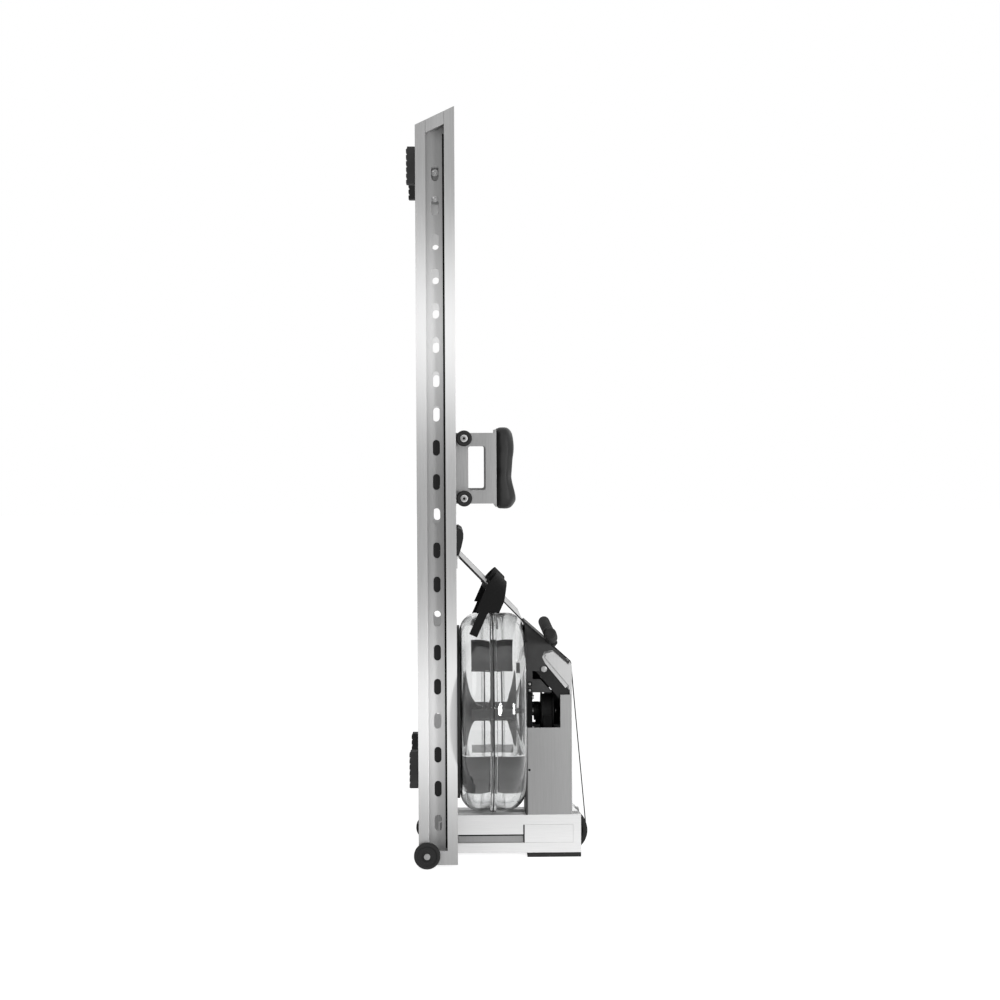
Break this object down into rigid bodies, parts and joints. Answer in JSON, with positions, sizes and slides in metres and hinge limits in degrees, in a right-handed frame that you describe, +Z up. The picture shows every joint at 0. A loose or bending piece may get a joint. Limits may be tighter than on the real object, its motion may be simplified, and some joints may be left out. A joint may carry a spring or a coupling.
{
  "type": "water rowing machine",
  "caption": "Water rowing machine stored upright on its front end: twin metal rails, clear round tank with a paddle, sliding seat, footboard with straps, strap-driven handle.",
  "frame": {"origin": "middle of the footprint at floor level, as the machine stands stored on its front end", "axes": "+Z up, from the front end to the rear end; +X from the rails to the seat's side; +Y across"},
  "size_m": [0.5128, 0.582, 2.132],
  "materials": {
    "brushed_aluminium": "brushed, lengthwise",
    "grey_sheet": "satin grey",
    "dark_sheet": "satin charcoal",
    "black_plastic": "fine moulded grain",
    "black_rubber": "matt",
    "clear_plastic": "clear, polished",
    "steel": "turned",
    "webbing": "woven",
    "screen": "glossy",
    "grey_plastic": "matt",
    "cushion": "soft grained cover over foam"
  },
  "bodies": {
    "frame": {"rail_near": "brushed_aluminium", "rail_far": "brushed_aluminium", "rail_rear_cap_near": "brushed_aluminium", "rail_rear_cap_far": "brushed_aluminium", "front_cross_member": "brushed_aluminium", "rear_cross_member": "brushed_aluminium", "front_post_near": "brushed_aluminium", "front_post_far": "brushed_aluminium", "bridge_cover": "brushed_aluminium", "footboard": "brushed_aluminium", "bridge_side_near": "grey_sheet", "bridge_side_far": "grey_sheet", "gusset_near": "dark_sheet", "gusset_far": "dark_sheet", "tank_top_plate": "dark_sheet", "tank_base_disc": "black_plastic", "shaft_bearing": "black_plastic", "handle_deck": "black_plastic", "rear_foot_near": "black_rubber", "rear_foot_far": "black_rubber", "front_foot_near": "black_rubber", "front_foot_far": "black_rubber", "floor_pad": "black_rubber", "tank_gasket": "black_rubber", "seat_stop": "black_rubber", "tank_lower_shell": "clear_plastic", "tank_upper_shell": "clear_plastic", "transport_axle": "steel", "front_pulley_axle": "steel", "monitor_pin": "steel", "drive_strap": "webbing", "drive_strap_inner": "webbing", "foot_strap_near": "webbing", "foot_strap_far": "webbing"},
    "seat": {"seat_truck": "brushed_aluminium", "seat_cushion": "cushion"},
    "seat_wheel_front_near": {"seat_wheel_front_near": "black_rubber"},
    "seat_wheel_rear_near": {"seat_wheel_rear_near": "black_rubber"},
    "seat_wheel_front_far": {"seat_wheel_front_far": "black_rubber"},
    "seat_wheel_rear_far": {"seat_wheel_rear_far": "black_rubber"},
    "transport_wheel_near": {"transport_wheel_near": "black_rubber"},
    "transport_wheel_far": {"transport_wheel_far": "black_rubber"},
    "paddle": {"paddle": "black_plastic", "paddle_shaft": "steel"},
    "drum": {"drive_drum": "black_plastic"},
    "pulley": {"front_pulley": "black_plastic"},
    "handle": {"handle_bar": "black_plastic", "handle_grip_near": "black_rubber", "handle_grip_far": "black_rubber"},
    "heel_near": {"heel_slider_near": "black_plastic"},
    "heel_far": {"heel_slider_far": "black_plastic"},
    "monitor": {"monitor_case": "dark_sheet", "monitor_screen": "screen"},
    "button_1": {"monitor_button_1": "grey_plastic"},
    "button_2": {"monitor_button_2": "grey_plastic"},
    "button_3": {"monitor_button_3": "grey_plastic"},
    "button_4": {"monitor_button_4": "grey_plastic"},
    "plug": {"tank_plug": "black_plastic"}
  },
  "joints": [
    {"name": "seat_slide", "type": "slide", "parent": "frame", "child": "seat", "axis": [0, 0, 1], "range_m": [0, 0.8]},
    {"name": "seat_wheel_front_near_roll", "type": "hinge", "parent": "seat", "child": "seat_wheel_front_near", "pos_m": [-0.09855, -0.19, 1.0375], "axis": [0, 1, 0], "range_deg": [-2040, 0]},
    {"name": "seat_wheel_front_far_roll", "type": "hinge", "parent": "seat", "child": "seat_wheel_front_far", "pos_m": [-0.09855, 0.19, 1.0375], "axis": [0, 1, 0], "range_deg": [-2040, 0]},
    {"name": "seat_wheel_rear_near_roll", "type": "hinge", "parent": "seat", "child": "seat_wheel_rear_near", "pos_m": [-0.09855, -0.19, 1.2065], "axis": [0, 1, 0], "range_deg": [-2040, 0]},
    {"name": "seat_wheel_rear_far_roll", "type": "hinge", "parent": "seat", "child": "seat_wheel_rear_far", "pos_m": [-0.09855, 0.19, 1.2065], "axis": [0, 1, 0], "range_deg": [-2040, 0]},
    {"name": "transport_wheel_near_roll", "type": "hinge", "parent": "frame", "child": "transport_wheel_near", "pos_m": [-0.20785, -0.228, 0.037], "axis": [0, 1, 0], "continuous": true},
    {"name": "transport_wheel_far_roll", "type": "hinge", "parent": "frame", "child": "transport_wheel_far", "pos_m": [-0.20785, 0.228, 0.037], "axis": [0, 1, 0], "continuous": true},
    {"name": "paddle_spin", "type": "hinge", "parent": "frame", "child": "paddle", "pos_m": [-0.01935, 0, 0.415], "axis": [1, 0, 0], "continuous": true},
    {"name": "handle_pull", "type": "slide", "parent": "frame", "child": "handle", "axis": [0, 0, 1], "range_m": [0, 1], "stiffness_N_per_m": 25, "springref_m": -0.6, "deforming": ["drive_strap"]},
    {"name": "drum_spin", "type": "hinge", "parent": "frame", "child": "drum", "pos_m": [0.13975, 0, 0.415], "axis": [1, 0, 0], "range_deg": [0, 1115]},
    {"name": "pulley_spin", "type": "hinge", "parent": "frame", "child": "pulley", "pos_m": [0.19335, 0, 0.068], "axis": [0, 1, 0], "range_deg": [-965, 0]},
    {"name": "heel_near_slide", "type": "slide", "parent": "frame", "child": "heel_near", "axis": [-0.6976, 0, 0.7165], "range_m": [0, 0.04]},
    {"name": "heel_far_slide", "type": "slide", "parent": "frame", "child": "heel_far", "axis": [-0.6976, 0, 0.7165], "range_m": [0, 0.04]},
    {"name": "monitor_tilt", "type": "hinge", "parent": "frame", "child": "monitor", "pos_m": [0.12879, 0, 0.54323], "axis": [0, 1, 0], "range_deg": [-2, 10]},
    {"name": "button_1_press", "type": "slide", "parent": "monitor", "child": "button_1", "axis": [-0.7648, 0, -0.6442], "range_m": [0, 0.002], "stiffness_N_per_m": 400, "springref_m": -0.002},
    {"name": "button_2_press", "type": "slide", "parent": "monitor", "child": "button_2", "axis": [-0.7648, 0, -0.6442], "range_m": [0, 0.002], "stiffness_N_per_m": 400, "springref_m": -0.002},
    {"name": "button_3_press", "type": "slide", "parent": "monitor", "child": "button_3", "axis": [-0.7648, 0, -0.6442], "range_m": [0, 0.002], "stiffness_N_per_m": 400, "springref_m": -0.002},
    {"name": "button_4_press", "type": "slide", "parent": "monitor", "child": "button_4", "axis": [-0.7648, 0, -0.6442], "range_m": [0, 0.002], "stiffness_N_per_m": 400, "springref_m": -0.002},
    {"name": "plug_pull", "type": "slide", "parent": "frame", "child": "plug", "axis": [1, 0, 0], "range_m": [0, 0.03]}
  ],
  "couplings": [
    {"joint": "seat_wheel_front_near_roll", "follows": "seat_slide", "rad_per_m": -44.444},
    {"joint": "seat_wheel_front_far_roll", "follows": "seat_slide", "rad_per_m": -44.444},
    {"joint": "seat_wheel_rear_near_roll", "follows": "seat_slide", "rad_per_m": -44.444},
    {"joint": "seat_wheel_rear_far_roll", "follows": "seat_slide", "rad_per_m": -44.444},
    {"joint": "drum_spin", "follows": "handle_pull", "rad_per_m": 19.38},
    {"joint": "pulley_spin", "follows": "handle_pull", "rad_per_m": -16.779}
  ]
}
